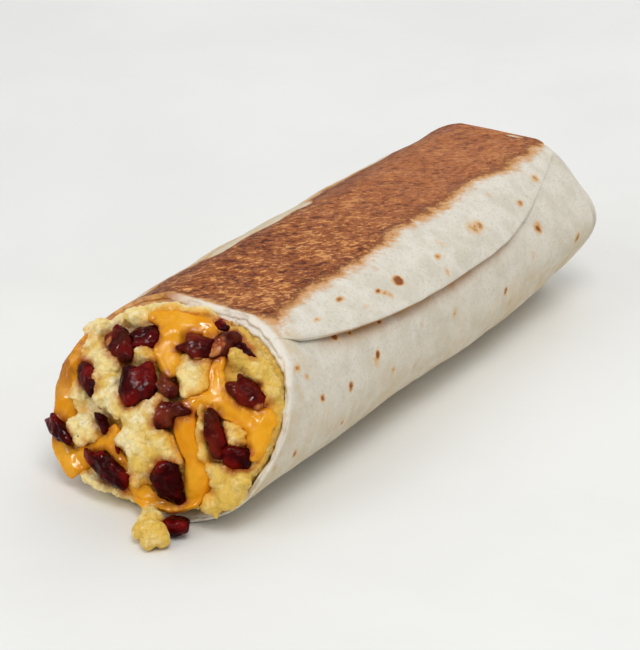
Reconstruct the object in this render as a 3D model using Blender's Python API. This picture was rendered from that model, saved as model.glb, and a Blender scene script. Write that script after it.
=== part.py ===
# A breakfast burrito: a grilled flour tortilla rolled round scrambled egg, melted cheese
# and bacon pieces, open at the front and tucked shut at the back.
# Metres, +Z up, the open mouth towards -Y. The origin is the middle of the flat underside.

import math

import bmesh
import bpy
from mathutils import Matrix, Vector, noise

MM = 0.001

# Driving dimensions of the roll
LENGTH = 168 * MM  # along the top
WIDTH = 63 * MM
HEIGHT = 42 * MM
SHEET = 1.8 * MM  # thickness of the flour tortilla
WALL = 2 * SHEET  # the rolled wall, two layers where the tortilla laps itself
GAP = 0.35 * MM  # clear space between neighbouring pieces
FRONT = -LENGTH / 2  # y of the lower lip of the mouth

# Cross-section: a rounded oval pressed flat by the grill, top and bottom
ROUNDNESS = 2.25
PRESSED = 1.5 * MM  # how far the oval would reach past the flat top and bottom
HALF_WIDTH = WIDTH / 2 + SHEET  # over the lap; where the wall is one sheet it is WIDTH / 2
HALF_HEIGHT = HEIGHT / 2 + PRESSED

# The mouth leans back, so that its upper lip lies behind its lower lip
MOUTH_LEAN = 0.69  # rise of y for each unit of z
MOUTH_CENTRE = Vector((0, FRONT + MOUTH_LEAN * HEIGHT / 2, HEIGHT / 2))
MOUTH_UP = Vector((0, MOUTH_LEAN, 1)).normalized()
MOUTH_OUT = Vector((0, -1, MOUTH_LEAN)).normalized()
MOUTH_HALF_WIDTH = WIDTH / 2
MOUTH_HALF_HEIGHT = HEIGHT / 2 * math.hypot(MOUTH_LEAN, 1)
BULGE = 8.5 * MM  # how far the filling domes out of the mouth
OVERHANG = 1 * MM  # how far it stands in front of the mouth at the rim
DRIFT = (0.8, -0.3)  # how far the filling sits to the right and up, in mm
PINCH = 1.3 * MM  # how far the left of the mouth is drawn in
LIP_RECESS = 2 * MM  # how far the lower lip is set back under the filling
NOTCH = 3.5 * MM  # how much further it is set back in one place
NOTCH_AT = -7 * MM

# The free edge of the tortilla, an arc of its round rim down the right side
EDGE_TURNS = (
    (0.0, 52),
    (0.07, 44.7),
    (0.13, 40),
    (0.22, 34.2),
    (0.31, 30),
    (0.43, 26.2),
    (0.5, 25.2),
    (0.65, 25),
    (0.71, 27),
    (0.78, 32),
    (0.83, 37.5),
    (0.88, 43.5),
    (0.94, 52),
    (1.0, 64),
)  # share of the length, and turn of the edge from +X towards +Z in degrees
EDGE_LIFT = 0.7 * MM  # how far the edge stands off where it gapes most
EDGE_LIFT_AT = 0.38
CREVICE_REACH = math.radians(7)  # how far the slit runs in under the edge
CREVICE = 0.4 * MM

# Tucked far end
END_ROUND = 4.5 * MM  # radius of the top's far edge
END_ROUND_BELOW = 9 * MM  # radius of the sides' and the base's far edges
END_TAPER = 0.13  # how much narrower the end is above and below its nose
NOSE_AT = 0.55  # height of the nose, as a share of the roll's height
END_BELLY = 4 * MM  # the nose stands this far behind the top
END_DIMPLE = 1.5 * MM

POINTS_AROUND = 44
STATIONS = 22
INNER_STATIONS = 9
LIP_RAGGED = 0.9 * MM
LIP_SLIT = 3.5 * MM  # depth of the slit between the two layers at the mouth

EGG_COLOUR = (0.80, 0.62, 0.22, 1)
CHEESE_COLOUR = (0.84, 0.40, 0.06, 1)
BACON_COLOUR = (0.16, 0.022, 0.016, 1)
TORTILLA_COLOUR = (0.74, 0.67, 0.54, 1)


def ease(value):
    value = min(max(value, 0.0), 1.0)
    return value * value * (3 - 2 * value)


def signed_power(value, power):
    return math.copysign(abs(value) ** power, value)


def material(name, colour, roughness):
    made = bpy.data.materials.new(name)
    made.use_nodes = True
    shader = made.node_tree.nodes["Principled BSDF"]
    shader.inputs["Base Color"].default_value = colour
    shader.inputs["Roughness"].default_value = roughness
    shader.inputs["Metallic"].default_value = 0
    return made


def object_of(name, bm, finish=None):
    mesh = bpy.data.meshes.new(name)
    bm.to_mesh(mesh)
    bm.free()
    made = bpy.data.objects.new(name, mesh)
    bpy.context.scene.collection.objects.link(made)
    if finish:
        mesh.materials.append(finish)
    return made


def baked(obj):
    """Replaces an object's mesh by what its modifiers make of it."""
    graph = bpy.context.evaluated_depsgraph_get()
    mesh = bpy.data.meshes.new_from_object(obj.evaluated_get(graph))
    obj.modifiers.clear()
    obj.data = mesh
    return obj


def remove(*objects):
    for obj in objects:
        bpy.data.objects.remove(obj)


def only_largest_body(obj):
    """Drops loose scraps and sealed bubbles, which are smaller shells of the same mesh."""
    bm = bmesh.new()
    bm.from_mesh(obj.data)
    left = set(bm.faces)
    shells = []
    while left:
        front = [left.pop()]
        shell = set(front)
        while front:
            near = {other for edge in front.pop().edges for other in edge.link_faces} & left
            left -= near
            shell |= near
            front.extend(near)
        shells.append(shell)
    largest = max(shells, key=len)
    scraps = [face for face in bm.faces if face not in largest]
    bmesh.ops.delete(bm, geom=scraps, context="FACES")
    bm.to_mesh(obj.data)
    bm.free()
    return obj


def combine(obj, other, operation):
    change = obj.modifiers.new(operation.lower(), "BOOLEAN")
    change.operation = operation
    change.object = other
    return baked(obj)


# The rolled tortilla


def flap_turn(share):
    """Turn of the tortilla's free edge at a share of the length."""
    for (low, first), (high, last) in zip(EDGE_TURNS, EDGE_TURNS[1:]):
        if share <= high:
            part = (share - low) / (high - low)
            return math.radians(first + (last - first) * part)
    return math.radians(EDGE_TURNS[-1][1])


def lap(round_share):
    """How far the skin lies inside the outline: nothing over the lap, a sheet where it ends."""
    return SHEET * ease((round_share - 0.04) / 0.36)


def edge_lift(share, round_share):
    along = math.exp(-(((share - EDGE_LIFT_AT) / 0.16) ** 2))
    return EDGE_LIFT * along * max(0.0, 1 - round_share / 0.07)


def end_taper(share, z):
    """Share of its width that the roll keeps towards the tucked end, all of it at the nose."""
    away = 1 - math.exp(-(((z / HEIGHT - NOSE_AT) / 0.2) ** 2))
    return 1 - END_TAPER * ease((share - 0.76) / 0.24) * away


def outline_point(turn, share, inset, lapped, y):
    """A point of the section: inset goes evenly inwards, lapped only where the sheet is single."""
    cosine, sine = math.cos(turn), math.sin(turn)
    half_width = HALF_WIDTH - inset - lapped
    half_height = HALF_HEIGHT - inset - (lapped if sine > 0 else 0)
    z = HEIGHT / 2 + half_height * signed_power(sine, 2 / ROUNDNESS)
    x = half_width * signed_power(cosine, 2 / ROUNDNESS) * end_taper(share, z)
    wave = 0.6 * MM * noise.noise(Vector((x, y, z)) / (17 * MM))
    x += wave * cosine
    z += wave * sine
    return x, min(max(z, inset), HEIGHT - inset)


def end_radius(turn):
    """Radius of the far edge: small along the top, larger down the sides and below."""
    return END_ROUND_BELOW + (END_ROUND - END_ROUND_BELOW) * ease((math.sin(turn) - 0.45) / 0.5)


def end_station(step, turn):
    """Radial inset, y and steepness of the rows that close the far end."""
    back, radius = LENGTH / 2, end_radius(turn)
    if step <= 1:
        bend = step * math.pi / 2
        return radius * (1 - math.cos(bend)), back - radius * (1 - math.sin(bend)), bend
    inward = step - 1
    return radius + inward * (HEIGHT * 0.40 - radius), back - END_DIMPLE * inward, math.pi / 2


def skin_point(turn, share, step, lapped, depth):
    """A point depth inside the skin, at a share of the length or a step of the far end."""
    if step is None:
        y = FRONT + share * (LENGTH - end_radius(turn))
        pinch = PINCH * (1 - ease(share / 0.2)) * max(0.0, -math.cos(turn))
        x, z = outline_point(turn, share, depth, lapped + pinch, y)
        y += MOUTH_LEAN * (1 - share) ** 3 * z + lip_recess(x, z) * (1 - ease(share / 0.15))
    else:
        inset, y, bend = end_station(step, turn)
        inwards = lapped * math.cos(bend)
        x, z = outline_point(turn, share, inset + depth * math.cos(bend), inwards, y)
        y -= (lapped + depth) * math.sin(bend)
    belly = 1 - ((z / HEIGHT - 0.45) / 0.55) ** 2
    y += ease((share - 0.7) / 0.3) * END_BELLY * belly
    return Vector((x, y, z))


def lip_recess(x, z):
    """How far the rim lies behind the plane of the mouth: only the lower lip does."""
    notch = NOTCH * math.exp(-(((x - NOTCH_AT) / (9 * MM)) ** 2))
    return (LIP_RECESS + notch) * max(0.0, 1 - z / (10 * MM))


def skin_row(share, step=None, tightness=0.0):
    """One closed row of points: round the roll from the free edge, then back out of the slit."""
    start = flap_turn(share if step else share * (1 - END_ROUND_BELOW / LENGTH))
    row = []
    for i in range(POINTS_AROUND):
        round_share = (i + 0.25) / POINTS_AROUND
        lapped = lap(round_share) - edge_lift(share, round_share)
        row.append(skin_point(start + math.tau * round_share, share, step, lapped, 0))
    lift = edge_lift(share, 0)
    reach = CREVICE_REACH * (1 - tightness)
    spread = math.radians(1.2) * tightness
    under = SHEET * (1 - 0.6 * tightness)
    slit = (
        (start - 4 * spread, under),
        (start + reach - 3 * spread, under),
        (start + reach - 2 * spread, under - CREVICE - lift * 0.3),
        (start + 0.2 * reach - spread, under - CREVICE - lift),
        (start, 0.4 * SHEET - lift),
    )
    row += [skin_point(turn, share, step, lapped, 0) for turn, lapped in slit]
    return row


def lip_rows():
    """The rim of the mouth, from the outer skin over the slit between the layers to the inside."""
    start = flap_turn(0)
    rows = []
    for part in (0.3, 0.48, 0.72, 1.0):
        row = []
        for i in range(POINTS_AROUND):
            round_share = (i + 0.25) / POINTS_AROUND
            lapped = lap(round_share)
            doubled = 1 - lapped / SHEET
            depth = part * (WALL - lapped)
            point = skin_point(start + math.tau * round_share, 0, None, lapped, depth)
            ragged = noise.noise(point / (5 * MM)) * LIP_RAGGED
            slit = LIP_SLIT * doubled if part == 0.48 else 0
            point.y += ragged + slit
            row.append(point)
        rows.append(row)
    return rows


def inner_rows():
    """The inside wall of the roll, plain because the filling hides it."""
    rows = []
    for k in range(1, INNER_STATIONS):
        share = k / (INNER_STATIONS - 1) * 0.945
        start = flap_turn(0)
        row = []
        for i in range(POINTS_AROUND):
            round_share = (i + 0.25) / POINTS_AROUND
            turn = start + math.tau * round_share
            x, z = outline_point(turn, share, WALL, 0, 0)
            z = max(z, SHEET)
            y = FRONT + share * LENGTH + MOUTH_LEAN * (1 - share) ** 3 * z
            y += lip_recess(x, z) * (1 - ease(share / 0.15))
            row.append(Vector((x, y, z)))
        rows.append(row)
    return rows


def tortilla(name, finish=None, grow=0.0):
    """The rolled sheet as one closed solid. With grow it is the cutter that clears its place."""
    bm = bmesh.new()
    outer = [skin_row((k / STATIONS) ** 1.15) for k in range(STATIONS + 1)]
    for step in (0.35, 0.7, 1.0, 1.5, 2.0):
        outer.append(skin_row(1.0, step, tightness=max(0.0, step - 1)))
    lip, inner = lip_rows(), inner_rows()
    loops = [[bm.verts.new(point) for point in row] for row in outer]
    rims = [[bm.verts.new(point) for point in row] for row in lip + inner]
    for first, second in zip(loops, loops[1:]):
        bridge(bm, first, second)
    join_slit_to_rim(bm, loops[0], rims[0])
    for first, second in zip(rims, rims[1:]):
        bridge(bm, second, first)
    bm.faces.new(loops[-1])
    bm.faces.new(list(reversed(rims[-1])))
    bmesh.ops.recalc_face_normals(bm, faces=bm.faces)
    bmesh.ops.triangulate(bm, faces=bm.faces)
    if grow:
        bm.normal_update()
        moves = [(vert, vert.normal * grow) for vert in bm.verts]
        for vert, move in moves:
            vert.co += move
    made = object_of(name, bm, finish)
    for face in made.data.polygons:
        face.use_smooth = True
    return made


def bridge(bm, first, second):
    count = len(first)
    for i in range(count):
        j = (i + 1) % count
        bm.faces.new((first[i], first[j], second[j], second[i]))


def join_slit_to_rim(bm, skin, rim):
    """The skin's row has the slit's extra points, which all meet the rim's last stretch."""
    for i in range(POINTS_AROUND - 1):
        bm.faces.new((skin[i], rim[i], rim[i + 1], skin[i + 1]))
    bm.faces.new([rim[-1], rim[0], skin[0]] + list(reversed(skin[POINTS_AROUND - 1 :])))


# The filling, placed on a dome in the leaning mouth: u to the right, v up, out towards the eater


def dome(u, v):
    return BULGE * (1 - (u / MOUTH_HALF_WIDTH) ** 2 - (v / MOUTH_HALF_HEIGHT) ** 2)


def on_dome(u, v, out=0.0):
    """World point at u, v in millimetres on the dome, moved out by so many millimetres."""
    u, v = (u + DRIFT[0]) * MM, (v + DRIFT[1]) * MM
    height = dome(u, v) + OVERHANG + out * MM
    return MOUTH_CENTRE + Vector((u, 0, 0)) + MOUTH_UP * v + MOUTH_OUT * height


def dome_frame(u, v):
    """Rotation whose Z leaves the dome squarely and whose X lies level across it."""
    step = 0.5
    across = (on_dome(u + step, v) - on_dome(u - step, v)).normalized()
    up = (on_dome(u, v + step) - on_dome(u, v - step)).normalized()
    out = across.cross(up).normalized()
    return Matrix((across, out.cross(across), out)).transposed()


def add_lump(bm, centre, radii, turn=None, detail=3):
    scale = Matrix.Diagonal((*radii, 1))
    spin = turn.to_4x4() if turn else Matrix.Identity(4)
    place = Matrix.Translation(centre) @ spin @ scale
    bmesh.ops.create_icosphere(bm, subdivisions=detail, radius=1, matrix=place)


def blended(obj, voxel, smoothing, triangles, lumpiness=0.0, lump_size=4 * MM):
    """Melts overlapping shapes into one skin, roughens it, and thins it to the triangles asked."""
    melt = obj.modifiers.new("melt", "REMESH")
    melt.mode = "VOXEL"
    melt.voxel_size = voxel
    if lumpiness:
        clouds = bpy.data.textures.new(obj.name, "CLOUDS")
        clouds.noise_scale = lump_size
        clouds.noise_depth = 2
        rough = obj.modifiers.new("lumps", "DISPLACE")
        rough.texture = clouds
        rough.strength = lumpiness
        rough.mid_level = 0.5
    if smoothing:
        soft = obj.modifiers.new("soften", "SMOOTH")
        soft.factor = 0.5
        soft.iterations = smoothing
    baked(obj)
    only_largest_body(obj)
    obj.data.calc_loop_triangles()
    thin = obj.modifiers.new("thin", "DECIMATE")
    thin.ratio = min(1.0, triangles / len(obj.data.loop_triangles))
    return baked(obj)


# Curds of egg that show: u, v, width, height across the dome, and how far they stand out, in mm
CURDS = (
    (-21.5, 6.5, 9, 8, 0.4),
    (-16.0, 4.8, 8, 9, 0.9),
    (-14.0, -0.5, 8, 9, 1.0),
    (-9.0, -2.8, 9, 7, 1.0),
    (-24.0, 11.8, 8, 6, -0.2),
    (-23.2, -3.4, 6, 8, 0.2),
    (-6.5, 9.4, 9, 5, 0.5),
    (7.2, 8.6, 9, 6, 0.9),
    (9.0, 5.4, 8, 6, 1.1),
    (4.9, 11.0, 6, 4, 0.5),
    (2.4, -0.4, 7, 6, 0.9),
    (-1.2, -4.7, 10, 8, 1.2),
    (-1.8, -9.4, 10, 8, 1.5),
    (5.0, -9.4, 9, 8, 1.5),
    (8.6, -11.6, 6, 6, 1.2),
    (2.2, -13.4, 10, 7, 1.6),
    (0.4, -17.2, 7, 6, 1.0),
    (-18.6, -11.4, 9, 8, 1.3),
    (-13.8, -11.4, 5, 6, 0.9),
    (12.6, 1.6, 3.4, 5, 0.8),
    (14.0, -3.6, 3.4, 7, 1.0),
    (15.4, -8.4, 3.4, 5, 0.9),
    (21.4, -1.6, 7, 6, 0.9),
    (23.2, -13.6, 9, 9, 1.2),
    (20.4, -11.2, 7, 5, 1.2),
    (24.8, -11.6, 5, 6, 0.8),
    (15.9, 15.0, 6, 5, 0.2),
    (21.2, 12.6, 7, 5, 0.3),
    (25.2, 9.4, 4, 7, 0.0),
    (8.8, 12.0, 6, 4, 0.3),
    (-6.5, 21.0, 10, 4, -0.8),
    (0.5, 21.6, 8, 4, -0.8),
    (-14.5, 17.0, 7, 4, -0.3),
    (-12.0, -20.6, 11, 4, 0.0),
    (-3.0, -20.8, 6, 4, 0.4),
    (8.6, -21.8, 8, 3.6, 0.4),
    (18.4, -18.0, 8, 5, 0.4),
)

# The curd that has spilled in front of the lower lip: x, y, z and radius, in mm from the lip
SPILL = (
    (7.4, -4.2, 3.0, 2.5),
    (10.0, -7.4, 3.6, 3.1),
    (12.6, -10.4, 3.2, 3.2),
    (15.0, -10.8, 2.5, 2.5),
    (13.6, -13.2, 2.1, 2.1),
    (9.8, -10.8, 2.6, 2.5),
)

# Streams of melted cheese: points u, v and half-width, in mm, which one stream joins up
STREAMS = (
    ((-8.6, 18.9, 1.7), (-3.7, 18.9, 2.3), (0.1, 19.2, 2.5), (3.6, 19.7, 2.1), (6.7, 19.9, 1.7)),
    ((-0.4, 18.6, 2.4), (-2.4, 15.2, 3.4), (-1.5, 12.2, 3.2), (0.6, 9.6, 2.6), (2.1, 8.0, 1.8)),
    ((6.7, 19.9, 1.7), (8.6, 17.3, 1.4), (12.0, 14.0, 1.3), (12.4, 10.8, 1.5), (13.9, 7.8, 2.0)),
    ((13.9, 7.8, 2.0), (15.9, 4.6, 2.6), (18.7, 3.2, 2.4), (22.0, 2.4, 2.3), (25.6, 1.4, 2.8)),
    ((25.6, 1.4, 2.8), (26.8, -1.3, 2.5), (27.0, -4.8, 1.7)),
    ((25.6, 1.4, 2.2), (27.4, 4.3, 1.7), (28.6, 3.0, 1.3)),
    ((15.9, 4.6, 2.2), (11.6, 3.2, 1.5), (9.7, 1.4, 1.8), (9.0, -1.7, 2.4), (10.3, -4.6, 2.3)),
    ((10.3, -4.6, 2.3), (11.9, -7.3, 2.0), (14.1, -9.8, 1.8), (15.0, -12.6, 2.7), (15.4, -15.6, 2.7)),
    ((15.4, -15.6, 2.7), (15.2, -18.7, 1.9), (10.5, -22.0, 1.5), (6.6, -21.2, 1.6), (4.1, -22.3, 2.0)),
    ((4.1, -22.3, 2.0), (1.9, -21.0, 2.3), (-0.4, -19.4, 1.6), (-5.0, -14.8, 1.2), (-9.5, -12.3, 1.4)),
    ((-9.5, -12.3, 1.4), (-13.3, -14.3, 1.4), (-16.8, -17.2, 2.4), (-20.8, -19.9, 2.6)),
    ((-8.2, -9.3, 1.6), (-9.5, -12.3, 1.4)),
    ((-20.8, -19.9, 2.6), (-23.4, -18.0, 2.5), (-26.6, -14.8, 1.8), (-27.0, -11.1, 1.8)),
    ((-27.0, -11.1, 1.8), (-26.4, -8.2, 2.6), (-26.6, -4.9, 2.9), (-28.0, -1.8, 2.5)),
    ((-28.0, -1.8, 2.5), (-28.4, 1.5, 2.2), (-27.4, 5.2, 1.9), (-26.1, 9.0, 1.4)),
)
STREAM_SWELL = 1.2  # the streams' width before smoothing draws them in

# Sunken streams that join the others behind the filling: u, v, depth and half-width, in mm
ROOTS = (
    ((-1.5, 12.2, -1.5, 2.4), (2.0, 8.0, -4.5, 2.4), (9.0, 2.0, -4.5, 2.8), (14.0, -10.0, -3.0, 2.2)),
    ((9.0, 2.0, -4.5, 2.8), (18.0, 3.4, -2.5, 2.4)),
    ((9.0, 2.0, -4.5, 2.8), (-8.0, -10.0, -4.5, 2.6), (-17.0, -16.0, -2.5, 2.2)),
    ((-8.0, -10.0, -4.5, 2.6), (1.9, -20.0, -2.2, 2.0)),
    ((-8.0, -10.0, -4.5, 2.6), (-26.4, -7.0, -2.0, 2.0)),
)

# The stream that runs on through the roll: x, share of the length, z and half-width, in mm
THROUGH_STREAM = ((5, 0.20, 21, 5.0), (-4, 0.45, 23, 5.5), (4, 0.68, 20, 5.0), (0, 0.86, 21, 4.5))

# Bacon pieces: u, v, length, breadth and thickness in mm, lean of the length from level in
# degrees, how much the piece narrows towards its far end, and how far it stands out in mm
BACON = (
    (-14.2, 10.0, 12.2, 4.6, 3.4, -26, 0.2, 0.7),
    (-8.3, 13.6, 7.2, 5.4, 3.2, 12, 0.0, 0.6),
    (6.2, 15.0, 8.2, 5.2, 3.6, 2, 0.15, 1.5),
    (11.7, 17.2, 7.4, 4.0, 3.2, 76, 0.0, 1.1),
    (16.2, 17.4, 5.0, 1.9, 2.4, -22, 0.2, 0.8),
    (8.4, 21.3, 3.8, 2.2, 2.2, -20, 0.1, 0.2),
    (-19.6, 0.4, 10.0, 4.9, 3.0, -34, 0.15, 1.0),
    (-4.3, 2.6, 11.4, 9.4, 3.8, -57, 0.35, 1.7),
    (3.0, 3.8, 6.2, 3.4, 3.0, -30, -0.1, 1.0),
    (21.6, 8.0, 10.4, 5.4, 3.6, -22, 0.1, 1.2),
    (5.2, -2.9, 5.6, 4.0, 3.2, -76, 0.0, 1.4),
    (8.2, -0.5, 3.9, 2.7, 2.6, 0, 0.3, 1.3),
    (-11.8, -8.4, 4.8, 2.2, 2.6, -42, 0.1, 1.2),
    (17.8, -2.6, 11.2, 3.3, 3.2, -69, -0.1, 1.5),
    (24.2, -6.8, 6.9, 4.8, 3.2, 20, 0.3, 1.1),
    (-25.4, -12.8, 12.2, 3.6, 2.6, -24, 0.35, 3.0),
    (-8.0, -18.3, 13.4, 4.8, 3.2, -20, -0.15, 2.0),
    (9.8, -17.4, 8.0, 6.4, 3.8, -38, 0.3, 1.8),
)

# The bacon piece beside the spilled curd: x, y and z of its middle from the lip, length,
# breadth and thickness in mm, lean, and how much it narrows
SPILLED_BACON = (14.6, -4.6, 2.6, 7.8, 6.2, 2.8, -8, 0.2)
TORN = 0.55  # how far a torn edge strays, as a share of the piece's half length


# Rings of a bacon piece from its back to its front: share of the outline, share of the thickness
BACON_RINGS = ((0.66, -0.72), (0.98, -0.25), (1.02, 0.15), (0.74, 0.42))


def torn_outline(seed, length, breadth, lean, narrowing):
    """A rounded oblong with a torn edge, as u, v steps in mm from its middle."""
    count = 11 if length > 7 else 8
    cosine, sine = math.cos(math.radians(lean)), math.sin(math.radians(lean))
    points = []
    for i in range(count):
        turn = math.tau * (i + 0.3) / count
        along = signed_power(math.cos(turn), 0.75)
        across = signed_power(math.sin(turn), 0.8) * (1 - narrowing * along)
        tear = 1 + TORN * noise.noise(Vector((2 * along, 2 * across, seed * 4.7)))
        along, across = along * tear * length / 2, across * tear * breadth / 2
        points.append((along * cosine - across * sine, along * sine + across * cosine))
    return points


def bacon_shape(seed, sizes, place, grow=0.0):
    """A crisp scrap of bacon: a puckered slab with a torn outline."""
    length, breadth, thickness, lean, narrowing = sizes
    outline = torn_outline(seed, length, breadth, lean, narrowing)
    bm = bmesh.new()
    count = len(outline)
    rings = []
    for scale, height in BACON_RINGS:
        ring = []
        for u, v in outline:
            u, v = u * scale, v * scale
            pucker = 0.55 * noise.noise(Vector((u, v, seed * 9.1)) / 2.6)
            ring.append(bm.verts.new(place(u, v, height * thickness + pucker)))
        rings.append(ring)
    for first, second in zip(rings, rings[1:]):
        bridge(bm, first, second)
    for ring, height in ((rings[0], -0.8), (rings[-1], 0.5)):
        tip = bm.verts.new(place(0, 0, height * thickness))
        for i in range(count):
            bm.faces.new((tip, ring[i], ring[(i + 1) % count]))
    bmesh.ops.recalc_face_normals(bm, faces=bm.faces)
    if grow:
        bm.normal_update()
        moves = [(vert, vert.normal * grow) for vert in bm.verts]
        for vert, move in moves:
            vert.co += move
    bmesh.ops.triangulate(bm, faces=bm.faces)
    return bm


def bacon_places():
    """Seed, sizes and placing function of every bacon piece."""
    for number, piece in enumerate(BACON, 1):
        u, v, length, breadth, thickness, lean, narrowing, out = piece

        def on_filling(du, dv, height, u=u, v=v, out=out):
            return on_dome(u + du, v + dv, out + height)

        yield number, (length, breadth, thickness, lean, narrowing), on_filling
    x, y, z, *sizes = SPILLED_BACON

    def on_floor(dx, dy, height):
        lifted = z + height + 0.12 * dx - 0.1 * dy
        return Vector(((x + dx) * MM, FRONT + (y + dy) * MM, lifted * MM))

    yield len(BACON) + 1, sizes, on_floor


def bacon_pieces(finish, clearing):
    """Makes every piece clear of the tortilla and of the pieces before it. Returns their beds,
    the same shapes a little larger, which clear their places in the cheese and the egg."""
    beds = None
    for shape in bacon_places():
        name = f"bacon_{shape[0]:02d}"
        piece = object_of(name, bacon_shape(*shape), finish)
        bed = object_of(f"{name}_bed", bacon_shape(*shape, grow=GAP))
        combine(piece, clearing, "DIFFERENCE")
        if beds:
            combine(piece, beds, "DIFFERENCE")
            combine(beds, bed, "UNION")
            remove(bed)
        else:
            beds = bed
        only_largest_body(piece)
    return beds


def stream_lumps(bm, points, spacing):
    """Flattened balls close together along a stream that lies on the dome."""
    for (u0, v0, r0), (u1, v1, r1) in zip(points, points[1:]):
        count = max(1, round(math.hypot(u1 - u0, v1 - v0) / spacing))
        for i in range(count + 1):
            s = i / count
            u, v = u0 + (u1 - u0) * s, v0 + (v1 - v0) * s
            r = (r0 + (r1 - r0) * s) * STREAM_SWELL
            radii = (r * MM, r * MM, 0.62 * r * MM)
            add_lump(bm, on_dome(u, v, 0.9 - 0.35 * r), radii, dome_frame(u, v), detail=2)


def sunken_lumps(bm, points):
    """Balls close together along a stream given by world points and half-widths."""
    for (a, ra), (b, rb) in zip(points, points[1:]):
        count = max(1, round((b - a).length / (2.5 * MM)))
        for i in range(count + 1):
            s = i / count
            r = ra + (rb - ra) * s
            add_lump(bm, a.lerp(b, s), (r, r, r), detail=2)


def cheese(finish, cutters):
    """Makes the cheese, front streams and the one through the roll, clear of the cutters.
    Returns it and its room in the egg."""
    bm = bmesh.new()
    for points in STREAMS:
        stream_lumps(bm, points, 1.6)
    for root in ROOTS:
        sunken_lumps(bm, [(on_dome(u, v, out), r * MM) for u, v, out, r in root])
    through = [(on_dome(9.0, 2.0, -4.5), 3.0 * MM)]
    for x, share, z, r in THROUGH_STREAM:
        through.append((Vector((x * MM, FRONT + share * LENGTH, z * MM)), r * MM))
    sunken_lumps(bm, through)
    made = blended(object_of("melted_cheese", bm, finish), 0.6 * MM, 3, 1400)
    room = swollen(made, GAP * 1.3)
    for cutter in cutters:
        combine(made, cutter, "DIFFERENCE")
    only_largest_body(made)
    return made, room


def swollen(obj, amount):
    """A copy grown along its normals, as the cutter that clears the object's place."""
    copy = obj.copy()
    copy.data = obj.data.copy()
    bpy.context.scene.collection.objects.link(copy)
    swell = copy.modifiers.new("swell", "DISPLACE")
    swell.strength = amount
    swell.mid_level = 0
    return baked(copy)


def egg_core():
    """The egg packed in the roll, from behind the curds to the tucked end."""
    bm = bmesh.new()
    rows = []
    for k in range(9):
        share = 0.03 + 0.895 * k / 8
        row = []
        for i in range(28):
            turn = math.tau * i / 28
            x, z = outline_point(turn, share, WALL + GAP * 2, 0, 0)
            z = max(z, SHEET + GAP * 2)
            y = FRONT + share * LENGTH + MOUTH_LEAN * (1 - share) ** 3 * z
            row.append(bm.verts.new((x, y, z)))
        rows.append(row)
    for first, second in zip(rows, rows[1:]):
        bridge(bm, first, second)
    bm.faces.new(rows[-1])
    bm.faces.new(list(reversed(rows[0])))
    bmesh.ops.recalc_face_normals(bm, faces=bm.faces)
    bmesh.ops.triangulate(bm, faces=bm.faces)
    return object_of("egg_core", bm)


def curd_mass():
    """The curds at the mouth, over a domed bed that fills what they leave."""
    bm = bmesh.new()
    bed = Matrix((Vector((1, 0, 0)), MOUTH_UP, MOUTH_OUT)).transposed()
    radii = (MOUTH_HALF_WIDTH - 1 * MM, MOUTH_HALF_HEIGHT - 2 * MM, BULGE)
    add_lump(bm, MOUTH_CENTRE - MOUTH_OUT * 1.6 * MM, radii, bed, detail=4)
    for index, (u, v, width, height, out) in enumerate(CURDS):
        spin = Matrix.Rotation(math.sin(index * 1.7) * 0.5, 3, "Z")
        turn = dome_frame(u, v) @ spin
        add_lump(bm, on_dome(u, v, out - 1.4), (width / 2 * MM, height / 2 * MM, 2.6 * MM), turn)
        for k in range(3):
            angle = index * 2.4 + k * 2.1
            du, dv = 0.30 * width * math.cos(angle), 0.30 * height * math.sin(angle)
            r = min(width, height) * 0.26 * MM
            add_lump(bm, on_dome(u + du, v + dv, out - 0.6), (r * 1.2, r, r * 1.1), turn, detail=2)
    mass = object_of("scrambled_egg", bm)
    return blended(mass, 0.7 * MM, 1, 1800, lumpiness=1.6 * MM, lump_size=3.2 * MM)


def floor_slab():
    """A slab whose top is the floor, to cut what would reach below it."""
    bm = bmesh.new()
    size = Matrix.Diagonal((0.2, 0.3, 0.02, 1))
    bmesh.ops.create_cube(bm, size=1, matrix=Matrix.Translation((0, 0, -0.01)) @ size)
    return object_of("floor_slab", bm)


def spilled_curd(finish, clearing, beds):
    """The curd that lies in front of the lip, clear of its bacon piece. Returns its room."""
    bm = bmesh.new()
    for x, y, z, r in SPILL:
        centre = Vector((x * MM, FRONT + y * MM, z * MM))
        add_lump(bm, centre, (r * 1.1 * MM, r * MM, r * 0.9 * MM), detail=2)
    curd = object_of("spilled_curd", bm)
    blended(curd, 0.5 * MM, 1, 420, lumpiness=1.4 * MM, lump_size=2.4 * MM)
    room = swollen(curd, GAP * 1.3)
    floor = floor_slab()
    for cutter in (floor, clearing, beds):
        combine(curd, cutter, "DIFFERENCE")
    remove(floor)
    only_largest_body(curd)
    curd.data.materials.clear()
    curd.data.materials.append(finish)
    return room


def egg(finish, cutters):
    """The egg in the mouth and through the roll, in one body, clear of everything else."""
    mass, core = curd_mass(), egg_core()
    combine(mass, core, "UNION")
    for cutter in cutters:
        combine(mass, cutter, "DIFFERENCE")
    remove(core)
    only_largest_body(mass)
    mass.data.materials.clear()
    mass.data.materials.append(finish)
    return mass


def main():
    for obj in list(bpy.data.objects):
        bpy.data.objects.remove(obj)
    tortilla("tortilla", material("toasted_tortilla", TORTILLA_COLOUR, 0.75))
    clearing = tortilla("tortilla_clearing", grow=GAP)
    beds = bacon_pieces(material("crisp_bacon", BACON_COLOUR, 0.35), clearing)
    egg_finish = material("scrambled_egg", EGG_COLOUR, 0.5)
    cutters = [clearing, beds]
    cutters.append(spilled_curd(egg_finish, *cutters))
    melted, room = cheese(material("melted_cheese", CHEESE_COLOUR, 0.3), cutters)
    egg(egg_finish, [*cutters, room, melted])
    remove(*cutters, room)


main()
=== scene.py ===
import math

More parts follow.
